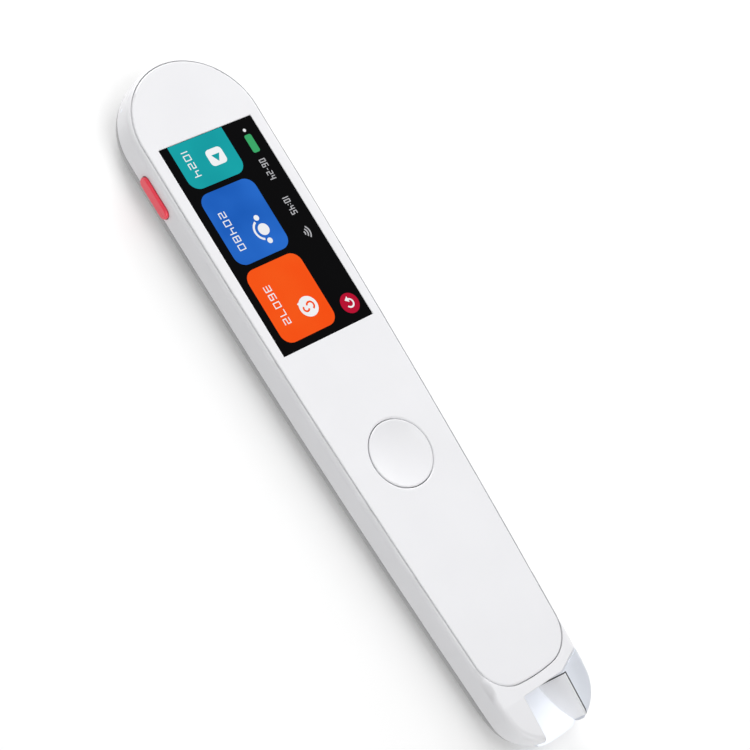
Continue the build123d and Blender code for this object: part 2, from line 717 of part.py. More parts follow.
def tray_size():
    """Outer length and width of the display's tray."""
    return SCREEN_LENGTH - 2 * TRAY_INSET, SCREEN_WIDTH - 2 * TRAY_INSET


def tray_low():
    """Underside of the display's tray."""
    return Z_PLATE - TRAY_DEPTH


def display_tray():
    """Bent steel tray that holds the panel and its backlight."""
    length, width = tray_size()
    low = tray_low()
    body = Pos(X_SCREEN, 0, (low + Z_PLATE) / 2) * Box(length, width, TRAY_DEPTH)
    hollow = Box(length - 2 * TRAY_WALL, width - 2 * TRAY_WALL, TRAY_DEPTH)
    return body - Pos(X_SCREEN, 0, (low + Z_PLATE) / 2 + TRAY_WALL) * hollow


def tray_layer(low, high):
    """A flat layer that fills the tray between two heights."""
    length, width = tray_size()
    play = 2 * TRAY_WALL + 2 * PART_GAP
    return Pos(X_SCREEN, 0, (low + high) / 2) * Box(length - play, width - play, high - low)


def display_panel():
    """Liquid crystal panel, bonded under the glass."""
    return tray_layer(Z_PLATE - PANEL_THICKNESS, Z_PLATE)


def display_backlight():
    """Light guide under the panel."""
    return tray_layer(tray_low() + TRAY_WALL, Z_PLATE - PANEL_THICKNESS)


def display_flex():
    """Flat cable from the tray's lower end down to its plug on the board."""
    half = DISPLAY_FLEX_WIDTH / 2
    end = X_SCREEN + tray_size()[0] / 2
    plug_end = X_TOP + DISPLAY_PLUG[0] + DISPLAY_PLUG[2] / 2
    plug_top = Z_BOARD + DISPLAY_PLUG[4]
    down = block(end, end + FLEX_THICKNESS, -half, half, plug_top, tray_low() + TRAY_DEPTH / 2)
    return down + block(end, plug_end, -half, half, plug_top, plug_top + FLEX_THICKNESS)


# Home button

def home_cap_low():
    """Underside of the home button's flange."""
    return Z_DECK_LOW - HOME_FLANGE_THICKNESS


def home_button():
    """Round cap with a dished face and a flange under the deck."""
    low = home_cap_low()
    body = disc(X_HOME, 0, low, PEN_THICKNESS, HOME_DIAMETER)
    body = fillet(body.edges().sort_by(Axis.Z)[-1], HOME_EDGE_RADIUS)
    dish_radius = HOME_DIAMETER / 2 - HOME_DISH_MARGIN
    ball = (dish_radius ** 2 + HOME_DISH_DEPTH ** 2) / (2 * HOME_DISH_DEPTH)
    body -= Pos(X_HOME, 0, PEN_THICKNESS - HOME_DISH_DEPTH + ball) * Sphere(ball)
    body += disc(X_HOME, 0, low, low + HOME_FLANGE_THICKNESS, HOME_DIAMETER + 2 * HOME_FLANGE_WIDTH)
    hollow_top = PEN_THICKNESS - HOME_CAP_THICKNESS
    return body - disc(X_HOME, 0, low - PAST, hollow_top, HOME_DIAMETER - 2 * HOME_FLANGE_WIDTH)


def home_plunger():
    """Silicone plunger from the cap's underside into the switch."""
    top = PEN_THICKNESS - HOME_CAP_THICKNESS
    low = home_cap_low()
    plate = disc(X_HOME, 0, low, top, HOME_DIAMETER - 2 * HOME_FLANGE_WIDTH - 2 * PART_GAP)
    bottom = Z_BOARD + HOME_SWITCH_FLOOR + HOME_TRAVEL + PART_GAP
    return plate + disc(X_HOME, 0, bottom, low, HOME_STEM_DIAMETER)


def home_switch():
    """Press switch on the board; the plunger enters its bore."""
    top = Z_BOARD + HOME_SWITCH_HEIGHT
    half = HOME_SWITCH_SIZE / 2
    body = block(X_HOME - half, X_HOME + half, -half, half, Z_BOARD, top)
    bore = HOME_STEM_DIAMETER + 2 * SLIDER_CLEARANCE
    return body - disc(X_HOME, 0, Z_BOARD + HOME_SWITCH_FLOOR, top + PAST, bore)


# Power button

def power_wall_y():
    """Inner face of the left side wall, where the power button's flange meets it."""
    return -half_width_at(X_POWER + POWER_LENGTH / 2 + POWER_FLANGE_REACH, SIDE_WALL)


def power_flange_y():
    """Inner face of the power button's flange."""
    return power_wall_y() + POWER_FLANGE_THICKNESS


def power_button():
    """Red pill-shaped key in the left wall, with a flange inside."""
    outer = -half_width_at(X_POWER) - POWER_PROUD
    inner = power_wall_y()
    cap = stadium_y(X_POWER, outer, inner, POWER_HEIGHT, POWER_LENGTH, POWER_WIDTH)
    face = cap.faces().sort_by(Axis.Y)[0]
    cap = fillet(face.edges(), POWER_EDGE_RADIUS)
    reach = POWER_LENGTH / 2 + POWER_FLANGE_REACH
    low = POWER_STEM_HEIGHT - POWER_FLANGE_WIDTH / 2
    flange = block(X_POWER - reach, X_POWER + reach, inner, power_flange_y(), low,
                   low + POWER_FLANGE_WIDTH)
    return cap + flange


def power_switch_y():
    """Outer face of the side-pressed switch."""
    return power_flange_y() + POWER_TRAVEL + PART_GAP


def power_plunger():
    """Pin from the power button into its switch."""
    end = power_switch_y() + POWER_SWITCH_DEPTH / 2
    return rod_y(X_POWER, power_flange_y(), end, POWER_STEM_HEIGHT, POWER_STEM_DIAMETER)


def power_switch():
    """Side-pressed switch on the board's edge."""
    half = POWER_SWITCH_LENGTH / 2
    outer = power_switch_y()
    body = block(X_POWER - half, X_POWER + half, outer, outer + POWER_SWITCH_DEPTH,
                 Z_BOARD, Z_BOARD + POWER_SWITCH_HEIGHT)
    depth = POWER_SWITCH_DEPTH / 2 + POWER_TRAVEL + PART_GAP
    bore = POWER_STEM_DIAMETER + 2 * SLIDER_CLEARANCE
    return body - rod_y(X_POWER, outer - PAST, outer + depth, POWER_STEM_HEIGHT, bore)


# Nose and its slider

def nose_window(envelope):
    """Translucent hood: right side, back and floor of the tip, with the notch in its front."""
    region = nose_region_front(NOSE_SIDE_GAP) + nose_region_back(NOSE_SIDE_GAP)
    body = envelope & region
    body -= notch_space()
    body -= beside_notch(0, LINER_THICKNESS + SHADE_THICKNESS)
    half = SLIDER_WIDTH / 2
    pocket = block(X_CAVITY_END, X_TIP - SLIDER_FROM_TIP, SLIDER_OFFSET - half, SLIDER_OFFSET + half,
                   SLIDER_LOW, SLIDER_LOW + SLIDER_HEIGHT)
    return body - pocket


def beside_notch(behind, width):
    """Upright layer along the notch's right wall, over the floor, that begins behind its end."""
    half = NOTCH_WIDTH / 2
    start = X_NOTCH + NOSE_SLIDE_GAP + behind
    lane = block(start, X_TIP - LINER_FROM_TIP, half, half + width, 0, FAR)
    return lane & Pos(0, half, 0) * notch_space()


def nose_liner(envelope):
    """Grey plate that lines the notch's right wall."""
    return envelope & beside_notch(SHADE_THICKNESS, LINER_THICKNESS)


def nose_shade(envelope):
    """Black strip around the liner's far side and end, which keeps stray light out of the notch."""
    body = envelope & beside_notch(0, LINER_THICKNESS + SHADE_THICKNESS)
    return body - beside_notch(SHADE_THICKNESS, LINER_THICKNESS)


def nose_slider():
    """Bar that carries the nose in its guide, with a stop at the bulkhead and a pin for the switch."""
    start = slider_x_start()
    half = SLIDER_WIDTH / 2
    top = SLIDER_LOW + SLIDER_HEIGHT
    left, right = SLIDER_OFFSET - half, SLIDER_OFFSET + half
    bar = block(start, start + SLIDER_LENGTH, left, right, SLIDER_LOW, top)
    bar += block(X_CAVITY_END - SLIDER_STOP_LENGTH, X_CAVITY_END, left, right, SLIDER_LOW,
                 top + SLIDER_STOP_HEIGHT)
    pin_end = start - SPRING_LENGTH - TRIGGER_DEPTH
    return bar + rod_x(pin_end, start, SLIDER_OFFSET, slider_axis(), SLIDER_PIN_DIAMETER)


def slider_axis():
    """Height of the slider's axis."""
    return SLIDER_LOW + SLIDER_HEIGHT / 2


def trigger_low():
    """Underside of the trigger switch."""
    return slider_axis() - TRIGGER_SWITCH_HEIGHT / 2


def trigger_switch():
    """Switch that the nose works; the slider's pin enters its bore."""
    end = slider_x_start() - SPRING_LENGTH
    half = TRIGGER_SWITCH_WIDTH / 2
    body = block(end - TRIGGER_SWITCH_LENGTH, end, SLIDER_OFFSET - half, SLIDER_OFFSET + half,
                 trigger_low(), trigger_low() + TRIGGER_SWITCH_HEIGHT)
    bore_end = end - TRIGGER_DEPTH - NOSE_TRAVEL - SLIDER_CLEARANCE
    bore = SLIDER_PIN_DIAMETER + 2 * SLIDER_CLEARANCE
    return body - rod_x(bore_end, end + PAST, SLIDER_OFFSET, slider_axis(), bore)


def nose_spring():
    """Return spring around the slider's pin."""
    free = SPRING_LENGTH - SPRING_WIRE - 2 * SLIDER_CLEARANCE
    radius = (SPRING_DIAMETER - SPRING_WIRE) / 2
    path = Helix(free / SPRING_TURNS, free, radius)
    start = path @ 0
    section = Plane(origin=start, z_dir=path % 0) * Circle(SPRING_WIRE / 2)
    coil = sweep(section, path)
    end = slider_x_start() - SPRING_LENGTH + SPRING_WIRE / 2 + SLIDER_CLEARANCE
    return Pos(end, SLIDER_OFFSET, slider_axis()) * Rot(0, 90, 0) * coil


# Scanner

def lens_window():
    """Dark window in the notch's end wall."""
    half = VIEWPORT_WIDTH / 2 + WINDOW_LAP
    return block(X_NOTCH - WINDOW_THICKNESS, X_NOTCH, -half, half,
                 VIEWPORT_LOW - WINDOW_LAP, VIEWPORT_HIGH + WINDOW_LAP)


def camera_board_x():
    """Rear face of the camera board."""
    return X_TIP - CAMERA_BOARD_FROM_TIP


def led_board_x():
    """Rear face of the board with the scanning lights."""
    return X_CAVITY_END - LED_BOARD_STAND_OFF - LED_BOARD_THICKNESS


def camera_board():
    """Upright board behind the scanning lens."""
    x = camera_board_x()
    half = CAMERA_BOARD_WIDTH / 2
    return block(x, x + CAMERA_BOARD_THICKNESS, -half, half, upright_low(), Z_DECK_LOW - DECK_CLEARANCE)


def image_sensor():
    """Sensor chip on the camera board."""
    x = camera_board_x() + CAMERA_BOARD_THICKNESS
    half = SENSOR_SIZE / 2
    return block(x, x + SENSOR_THICKNESS, -half, half, OPTICAL_HEIGHT - half, OPTICAL_HEIGHT + half)


def lens_barrel():
    """Holder over the sensor, with the threaded barrel of the lens."""
    x = camera_board_x() + CAMERA_BOARD_THICKNESS
    half = LENS_BASE_SIZE / 2
    low = OPTICAL_HEIGHT - half
    high = min(OPTICAL_HEIGHT + half, Z_DECK_LOW - DECK_CLEARANCE)
    body = block(x, x + LENS_BASE_LENGTH, -half, half, low, high)
    end = x + LENS_BASE_LENGTH + LENS_BARREL_LENGTH
    body += rod_x(x + LENS_BASE_LENGTH, end, 0, OPTICAL_HEIGHT, LENS_DIAMETER)
    room = SENSOR_SIZE / 2 + PART_GAP
    body -= block(x - PAST, x + SENSOR_THICKNESS + PART_GAP, -room, room, OPTICAL_HEIGHT - room,
                  OPTICAL_HEIGHT + room)
    return body - rod_x(x, end + PAST, 0, OPTICAL_HEIGHT, LENS_BORE)


def camera_lens():
    """Front lens in the barrel, flat behind and rounded in front."""
    end = camera_board_x() + CAMERA_BOARD_THICKNESS + LENS_BASE_LENGTH + LENS_BARREL_LENGTH
    face = end - LENS_RECESS
    body = rod_x(face - LENS_GLASS_THICKNESS, face, 0, OPTICAL_HEIGHT, LENS_BORE)
    return fillet(body.edges().sort_by(Axis.X)[-1], LENS_GLASS_THICKNESS / 2)


def camera_flex():
    """Flat cable from the camera board to the main board."""
    half = CAMERA_BOARD_WIDTH / 4
    start = X_TIP - BOARD_FROM_TIP - CAMERA_FLEX_LAP
    return block(start, camera_board_x(), -half, half, Z_BOARD, Z_BOARD + FLEX_THICKNESS)


def led_board():
    """Upright board in front of the lens, with a hole that the lens looks through."""
    x = led_board_x()
    half = LED_BOARD_WIDTH / 2
    body = block(x, x + LED_BOARD_THICKNESS, -half, half, upright_low(), VIEWPORT_HIGH)
    return body - rod_x(x - PAST, x + LED_BOARD_THICKNESS + PAST, 0, OPTICAL_HEIGHT, LENS_BORE)


def scan_leds():
    """Lights beside the lens that light the line being read."""
    x = led_board_x() + LED_BOARD_THICKNESS
    half = LED_SIZE / 2
    low, high = OPTICAL_HEIGHT - half, OPTICAL_HEIGHT + half
    sides = (LED_OFFSET, -LED_OFFSET)
    return solids(block(x, x + LED_THICKNESS, y - half, y + half, low, high) for y in sides)


# Main board and its parts

def main_board():
    """Circuit board along the pen, on the bosses, with a notch for the charging socket."""
    plan = outline(SIDE_WALL + BOARD_SIDE_GAP)
    body = extrude(Pos(0, 0, BOARD_HEIGHT) * plan, BOARD_THICKNESS)
    body &= block(X_TOP + BOARD_FROM_TOP, X_TIP - BOARD_FROM_TIP, -FAR, FAR, 0, FAR)
    half = USB_WIDTH / 2 + PART_GAP
    body -= block(X_TOP, usb_end() + PART_GAP, -half, half, 0, FAR)
    for x, y in screw_places():
        body -= disc(x, y, 0, Z_BOARD + PAST, SCREW_DIAMETER + 2 * SCREW_HOLE_CLEARANCE)
    return body


def board_screws():
    """Screws through the board into the bosses."""
    made = []
    for x, y in screw_places():
        shank = disc(x, y, BOARD_HEIGHT - SCREW_DEPTH + SCREW_END_ROOM, Z_BOARD, SCREW_DIAMETER)
        head = disc(x, y, Z_BOARD, Z_BOARD + SCREW_HEAD_HEIGHT, SCREW_HEAD_DIAMETER)
        long, wide, deep = SCREW_HEAD_DIAMETER / 2, SCREW_SLOT_WIDTH, 2 * SCREW_SLOT_DEPTH
        cross = Box(long, wide, deep) + Box(wide, long, deep)
        made.append(shank + head - Pos(x, y, Z_BOARD + SCREW_HEAD_HEIGHT) * cross)
    return solids(made)


def on_board(place):
    """A block-shaped component on the board."""
    along, across, length, width, height = place
    x = X_TOP + along
    return block(x - length / 2, x + length / 2, across - width / 2, across + width / 2,
                 Z_BOARD, Z_BOARD + height)


def shield_can():
    """Pressed steel lid over the processor and its memory."""
    along, across, length, width, height = SHIELD_CAN
    inner = (along, across, length - 2 * SHIELD_WALL, width - 2 * SHIELD_WALL, height - SHIELD_WALL)
    return on_board(SHIELD_CAN) - on_board(inner)


def passive_parts():
    """Rows of small resistors and capacitors."""
    length, width, height = PASSIVE_SIZE
    made = []
    for along, across in PASSIVE_ROWS:
        for i in range(PASSIVE_COUNT):
            made.append(on_board((along + i * PASSIVE_PITCH, across, length, width, height)))
    return solids(made)


# Battery

def battery_low():
    """Underside of the battery cell."""
    return BACK_WALL + TAPE_THICKNESS


def battery_start():
    """End of the battery that is nearer to the top of the pen."""
    return X_TOP + BATTERY_FROM_TOP


def battery_cell():
    """Pouch cell with rounded long edges."""
    start = battery_start()
    half = BATTERY_WIDTH / 2
    low = battery_low()
    body = block(start, start + BATTERY_LENGTH, -half, half, low, low + BATTERY_THICKNESS)
    return fillet(body.edges().filter_by(Axis.X), BATTERY_CORNER)


def battery_tape():
    """Double-sided tape between the cell and the back cover."""
    start = battery_start()
    half = BATTERY_WIDTH / 2 - BATTERY_CORNER
    return block(start + TAPE_END_INSET, start + BATTERY_LENGTH - TAPE_END_INSET, -half, half,
                 BACK_WALL, battery_low())


def battery_board():
    """Protection board at the cell's end."""
    start = battery_start() + BATTERY_LENGTH
    half = BATTERY_WIDTH / 2 - BATTERY_CORNER
    low = battery_low()
    return block(start, start + BATTERY_BOARD_THICKNESS, -half, half, low, low + BATTERY_THICKNESS)


def battery_leads():
    """Two leads from the protection board to the plug."""
    start = battery_start() + BATTERY_LENGTH + BATTERY_BOARD_THICKNESS
    z = BOARD_HEIGHT - PLUG_HEIGHT / 2
    sides = (LEAD_SPACING / 2, -LEAD_SPACING / 2)
    return solids(rod_x(start, start + PLUG_GAP, y, z, LEAD_DIAMETER) for y in sides)


def battery_plug():
    """Socket under the board that takes the battery's leads."""
    start = battery_start() + BATTERY_LENGTH + BATTERY_BOARD_THICKNESS + PLUG_GAP
    half = PLUG_WIDTH / 2
    return block(start, start + PLUG_LENGTH, -half, half, BOARD_HEIGHT - PLUG_HEIGHT, BOARD_HEIGHT)


# Speaker

def speaker_low():
    """Underside of the speaker's basket, on its gasket."""
    return BACK_WALL + MESH_THICKNESS + GASKET_THICKNESS


def grille_mesh():
    """Fine mesh behind the grille slots."""
    return disc(X_GRILLE, 0, BACK_WALL, BACK_WALL + MESH_THICKNESS, MESH_DIAMETER)


def speaker_gasket():
    """Foam ring between the mesh and the speaker."""
    low = BACK_WALL + MESH_THICKNESS
    ring = disc(X_GRILLE, 0, low, speaker_low(), SPEAKER_DIAMETER)
    return ring - disc(X_GRILLE, 0, 0, speaker_low() + PAST, SPEAKER_DIAMETER - 2 * GASKET_WIDTH)


def speaker_bore():
    """Inner width of the speaker's basket."""
    return SPEAKER_DIAMETER - 2 * SPEAKER_WALL


def speaker_basket():
    """Round metal basket, open towards the grille."""
    low = speaker_low()
    top = low + SPEAKER_HEIGHT
    body = disc(X_GRILLE, 0, low, top, SPEAKER_DIAMETER)
    return body - disc(X_GRILLE, 0, 0, top - SPEAKER_WALL, speaker_bore())


def speaker_cone():
    """Paper cone held inside the basket's rim."""
    low = speaker_low() + CONE_HEIGHT
    return disc(X_GRILLE, 0, low, low + CONE_THICKNESS, speaker_bore())


def speaker_magnet():
    """Magnet inside the basket's back."""
    top = speaker_low() + SPEAKER_HEIGHT - SPEAKER_WALL
    return disc(X_GRILLE, 0, top - MAGNET_HEIGHT, top, MAGNET_DIAMETER)


def speaker_leads():
    """Two leads from the basket's back up to the board."""
    z = speaker_low() + SPEAKER_HEIGHT + SPEAKER_LEAD_DIAMETER / 2
    start = X_GRILLE + SPEAKER_LEAD_START
    end = X_GRILLE + SPEAKER_LEAD_END
    made = []
    for side in (1, -1):
        y = side * LEAD_SPACING / 2
        turns = [(start, y, z), (end, y, z), (end, y, BOARD_HEIGHT)]
        path = FilletPolyline(*turns, radius=SPEAKER_LEAD_DIAMETER)
        section = Plane(origin=path @ 0, z_dir=(1, 0, 0)) * Circle(SPEAKER_LEAD_DIAMETER / 2)
        made.append(sweep(section, path))
    return solids(made)


# Charging socket, microphone, status light and antenna

def usb_end():
    """Inner end of the charging socket."""
    return X_TOP + USB_RECESS + USB_LENGTH


def usb_shell():
    """Steel shell of the charging socket, open at the pen's top end, with ears on the board."""
    start = X_TOP + USB_RECESS
    body = stadium_x(start, usb_end(), USB_AXIS_HEIGHT, USB_WIDTH, USB_HEIGHT)
    middle = (start + usb_end()) / 2
    reach = USB_WIDTH / 2 + USB_EAR
    body += block(middle, middle + 2 * USB_EAR, -reach, reach, Z_BOARD, Z_BOARD + USB_EAR_THICKNESS)
    bore = stadium_x(start - PAST, usb_end() - USB_WALL, USB_AXIS_HEIGHT, USB_WIDTH - 2 * USB_WALL,
                     USB_HEIGHT - 2 * USB_WALL)
    return body - bore


def usb_tongue():
    """Contact tongue in the middle of the socket."""
    end = usb_end() - USB_WALL
    half = TONGUE_WIDTH / 2
    return block(end - TONGUE_LENGTH, end, -half, half, USB_AXIS_HEIGHT - TONGUE_THICKNESS / 2,
                 USB_AXIS_HEIGHT + TONGUE_THICKNESS / 2)


def mic_wall_y():
    """Inner face of the right side wall at the microphone."""
    return half_width_at(X_TOP + MIC_FROM_TOP + MIC_LENGTH / 2, SIDE_WALL)


def mic_gasket():
    """Rubber block that seals the microphone to its hole."""
    x = X_TOP + MIC_FROM_TOP
    half = MIC_LENGTH / 2
    inner = mic_wall_y() - BOARD_SIDE_GAP - PART_GAP
    body = block(x - half, x + half, inner, mic_wall_y(), Z_BOARD, Z_BOARD + MIC_GASKET_HEIGHT)
    return body - rod_y(x, inner - PAST, mic_wall_y() + PAST, MIC_HEIGHT, MIC_HOLE)


def microphone():
    """Microphone on the board, beside its gasket."""
    outer = mic_wall_y() - BOARD_SIDE_GAP - PART_GAP
    x = X_TOP + MIC_FROM_TOP
    half = MIC_LENGTH / 2
    return block(x - half, x + half, outer - MIC_DEPTH, outer, Z_BOARD, Z_BOARD + MIC_THICKNESS)


def light_pipe():
    """Clear rod that brings the status light to the top end's left shoulder."""
    return light_bar(HALF_WIDTH - LIGHT_LENGTH, HALF_WIDTH, LIGHT_DIAMETER)


def status_led():
    """Light on the board, behind the inner end of its rod."""
    angle = radians(LIGHT_ANGLE)
    reach = HALF_WIDTH - LIGHT_LENGTH - STATUS_LED_SIZE / 2
    turned = Rot(0, 0, LIGHT_ANGLE) * Box(STATUS_LED_SIZE, STATUS_LED_SIZE, STATUS_LED_SIZE)
    x, y = X_ROUND - reach * cos(angle), -reach * sin(angle)
    return Pos(x, y, Z_BOARD + STATUS_LED_SIZE / 2) * turned


def antenna():
    """Film on the inside of the wall at the round end."""
    height = ANTENNA_HIGH - ANTENNA_LOW
    ring = extrude(Pos(0, 0, ANTENNA_LOW) * outline(SIDE_WALL), height)
    ring -= extrude(Pos(0, 0, ANTENNA_LOW) * outline(SIDE_WALL + ANTENNA_THICKNESS), height)
    return ring & block(X_TOP, X_TOP + ANTENNA_FROM_TOP, ANTENNA_SIDE, FAR, 0, FAR)


def make_parts():
    """Every sub-part by its node name."""
    shell = pen_envelope(X_TIP - NOSE_PROUD)
    hood = pen_envelope(X_TIP)
    hollow = cavity()
    return {
        "front_frame": front_frame(shell, hollow),
        "back_cover": back_cover(shell, hollow),
        "front_plate": front_plate(),
        "plate_adhesive": plate_adhesive(),
        "screen_glass": screen_glass(),
        "display_panel": display_panel(),
        "display_backlight": display_backlight(),
        "display_tray": display_tray(),
        "display_flex": display_flex(),
        "display_plug": on_board(DISPLAY_PLUG),
        "home_button": home_button(),
        "home_plunger": home_plunger(),
        "home_switch": home_switch(),
        "power_button": power_button(),
        "power_plunger": power_plunger(),
        "power_switch": power_switch(),
        "nose_window": nose_window(hood),
        "nose_liner": nose_liner(hood),
        "nose_shade": nose_shade(hood),
        "nose_slider": nose_slider(),
        "nose_spring": nose_spring(),
        "trigger_switch": trigger_switch(),
        "lens_window": lens_window(),
        "camera_board": camera_board(),
        "image_sensor": image_sensor(),
        "lens_barrel": lens_barrel(),
        "camera_lens": camera_lens(),
        "camera_flex": camera_flex(),
        "led_board": led_board(),
        "scan_leds": scan_leds(),
        "main_board": main_board(),
        "board_screws": board_screws(),
        "processor": on_board(PROCESSOR),
        "memory_chip": on_board(MEMORY_CHIP),
        "storage_chip": on_board(STORAGE_CHIP),
        "power_chip": on_board(POWER_CHIP),
        "radio_module": on_board(RADIO_MODULE),
        "shield_can": shield_can(),
        "passive_parts": passive_parts(),
        "battery_cell": battery_cell(),
        "battery_tape": battery_tape(),
        "battery_board": battery_board(),
        "battery_leads": battery_leads(),
        "battery_plug": battery_plug(),
        "grille_mesh": grille_mesh(),
        "speaker_gasket": speaker_gasket(),
        "speaker_basket": speaker_basket(),
        "speaker_cone": speaker_cone(),
        "speaker_magnet": speaker_magnet(),
        "speaker_leads": speaker_leads(),
        "usb_shell": usb_shell(),
        "usb_tongue": usb_tongue(),
        "microphone": microphone(),
        "mic_gasket": mic_gasket(),
        "status_led": status_led(),
        "light_pipe": light_pipe(),
        "antenna": antenna(),
    }


os.makedirs("parts", exist_ok=True)
for node, shape in make_parts().items():
    export_step(shape, f"parts/{node}.step")
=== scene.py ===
# The pen's looks: materials on the CAD pieces, the screen's picture, floor, lights and camera.
import json
from math import cos, pi, radians, sin

import bmesh
import bpy
from mathutils import Matrix, Vector


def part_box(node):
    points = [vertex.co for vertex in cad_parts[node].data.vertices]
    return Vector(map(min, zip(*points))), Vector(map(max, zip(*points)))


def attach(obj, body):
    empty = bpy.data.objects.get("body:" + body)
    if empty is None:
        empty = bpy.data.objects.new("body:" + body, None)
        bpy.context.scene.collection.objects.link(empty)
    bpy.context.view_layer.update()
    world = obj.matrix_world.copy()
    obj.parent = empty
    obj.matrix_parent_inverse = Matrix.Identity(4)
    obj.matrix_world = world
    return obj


MM = 0.001

# Surfaces. Lengths in this block are in millimetres.
BEVEL_SAMPLES = 4
GAP_SAMPLES = 8
FINE_DETAIL = 3.0
BROAD_DETAIL = 4.0
NOISE_ROUGHNESS = 0.55
EDGE_SPAN = (0.75, 0.995)  # rounded normal times the true one, on an edge and on flat ground
GAP_SPAN = (0.35, 0.95)  # openness of a gap and of open ground
GAP_REACH = 0.5
EDGE_HIGHLIGHT_AND_WEAR = 0.6  # share of the lighter edge colour, painted highlight and wear, on an edge
HIGHLIGHT_AND_WEAR_GAIN = 1.08  # lighter edge colour, painted highlight and wear, over the plain one, where none is given
WEAR_POLISH = 0.06  # roughness that an edge loses
GAP_SHADE_AND_DIRT_TONE = 0.45  # colour of the painted shade and dirt in gaps, over the plain one
GRAIN_ROUGHNESS = 0.03  # roughness that the grain adds or takes
GRAIN_DEPTH = 0.1  # grain's depth over its size
BLACK = (0.0, 0.0, 0.0)

# Painted glow on the milky tip and the liner, standing in for light on the tip's rear edges, the
# notch's floor and the liner's upright faces. Normals are parts of a unit vector, heights in
# millimetres.
REAR_GLOW = 0.3
REAR_NORMAL = (-0.8, -0.3)
NOTCH_GLOW = 0.32
NOTCH_HEIGHT = (4.5, 7.5)
NOTCH_NORMAL = (0.2, 0.6)
LINER_GLOW = 0.26
LINER_NORMAL = (0.3, 0.7)

# The lit screen. Lengths in this block are in millimetres.
SCREEN_SPECULAR = 0.1
SCREEN_ROUGHNESS = (0.06, 0.12)
SCREEN_BLOTCH = 9.0
UNLIT_SCREEN = (0.002, 0.002, 0.002, 1)
TINT_BLOTCH = 12.0
TINT_FALL = 0.93  # second tint over the first, where none is given
CELL_SIZE = 0.12
CELL_SHADE = 0.08

# The screen's picture, in millimetres from the glass's centre. Steps make a corner round.
LAYER_STEP = 0.004
LAYER_DEPTH = 0.01
TILE_LAYER, MARK_LAYER, INLAY_LAYER = 1, 2, 3
CORNER_STEPS = 8
SQUARE_CORNER = 0.02
TILE_CORNER = 2.4
LABEL_Y, LABEL_HEIGHT, LABEL_ASPECT = -7.5, 1.6, 0.8
STRIP_Y, STRIP_HEIGHT = 7.5, 1.5
DISC_CENTRE = (-1.0, -0.1)
BUBBLE_CENTRE = (16.3, -0.6)
WAVES_CENTRE = (3.0, 7.4)
SIGN_CENTRE = (19.2, 8.2)

# Digits, as shares of their height
STROKE = 0.13
STROKE_CORNER = 0.3  # share of the stroke
DIGIT_ASPECT = 0.5
DIGIT_GAP = 0.4  # share of the digit's width
COLON_DOTS = (0.3, 0.7)
COLON_RADIUS = 0.08
DASH_WIDTH = 0.3
DASH_LOW, DASH_HIGH = 0.44, 0.56
DASH_CORNER = 0.05
# strokes of the digits 0 to 9: a on top, then clockwise to f, and g across the middle
LIT_STROKES = (
    "abcdef", "bc", "abged", "abgcd", "fgbc", "afgcd", "afgedc", "abc", "abcdefg", "abcdfg",
)

# Floor, in metres, and light
FLOOR_HALF_SIZE = 3.0
FLOOR_DROP = 0.02 * MM
FLOOR_GLOW = 0.24
WORLD_STRENGTH = 0.35
# Lights: name, place, point looked at, side in metres, power in watts
LIGHTS = (
    ("Top", (0.025, -0.02, 0.3), (0.01, 0, 0), 0.2, 0.335),
    ("Side", (-0.25, 0.78, 0.2), (0, 0, 0), 0.45, 2.4),
    ("Left", (-0.6, 0.16, 0.26), (-0.02, 0, 0), 0.35, 3.2),
    ("Tip", (0.8, -0.15, 0.45), (0.06, 0, 0), 0.45, 2.2),
)

# Camera, fitted to the photograph: its axes in the part's frame, and the frame's origin in
# millimetres along them
CAMERA_RIGHT = (0.5211, 0.7159, 0.4647)
CAMERA_DOWN = (0.8475, -0.3695, -0.3811)
CAMERA_AHEAD = (-0.1012, 0.5924, -0.7993)
ORIGIN_SEEN = (-7.15, 6.74, 407.15)
FOCAL_PIXELS = 2100.0
PICTURE_PIXELS = 750.0
SENSOR_WIDTH = 36.0  # millimetres
CLIP_START, CLIP_END = 0.01, 20.0  # metres

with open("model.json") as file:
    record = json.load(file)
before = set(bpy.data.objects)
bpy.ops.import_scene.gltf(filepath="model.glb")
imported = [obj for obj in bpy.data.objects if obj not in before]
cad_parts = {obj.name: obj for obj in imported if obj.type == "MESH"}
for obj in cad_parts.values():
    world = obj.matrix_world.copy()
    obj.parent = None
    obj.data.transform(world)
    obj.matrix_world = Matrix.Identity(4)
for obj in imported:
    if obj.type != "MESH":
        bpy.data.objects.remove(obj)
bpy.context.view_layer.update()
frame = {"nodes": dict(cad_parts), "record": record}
scene = bpy.context.scene
scene.view_settings.view_transform = "Standard"
glass_low, glass_high = (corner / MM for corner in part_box("screen_glass"))
glass_centre = (glass_low + glass_high) / 2


# Node helpers

def add(made, kind, inputs=None, **values):
    """New node in a material, with its properties and unlinked inputs set."""
    node = made.node_tree.nodes.new(kind)
    for key, value in values.items():
        setattr(node, key, value)
    for key, value in (inputs or {}).items():
        node.inputs[key].default_value = value
    return node


def link(made, a, b):
    """Link from an output socket to an input socket."""
    made.node_tree.links.new(a, b)


def place(made):
    """The surface point in the object's own space, in metres."""
    return add(made, "ShaderNodeTexCoord").outputs["Object"]


def normal(made):
    """The surface's true normal."""
    return add(made, "ShaderNodeNewGeometry").outputs["Normal"]


def split(made, vector):
    """The X, Y and Z sockets of a vector."""
    node = add(made, "ShaderNodeSeparateXYZ")
    link(made, vector, node.inputs["Vector"])
    return node.outputs


def noise(made, size, detail=2.0):
    """Noise whose blobs are about the given size in millimetres, from 0 to 1."""
    node = add(made, "ShaderNodeTexNoise",
               {"Scale": 1 / (size * MM), "Detail": detail, "Roughness": NOISE_ROUGHNESS})
    link(made, place(made), node.inputs["Vector"])
    return node.outputs["Fac"]


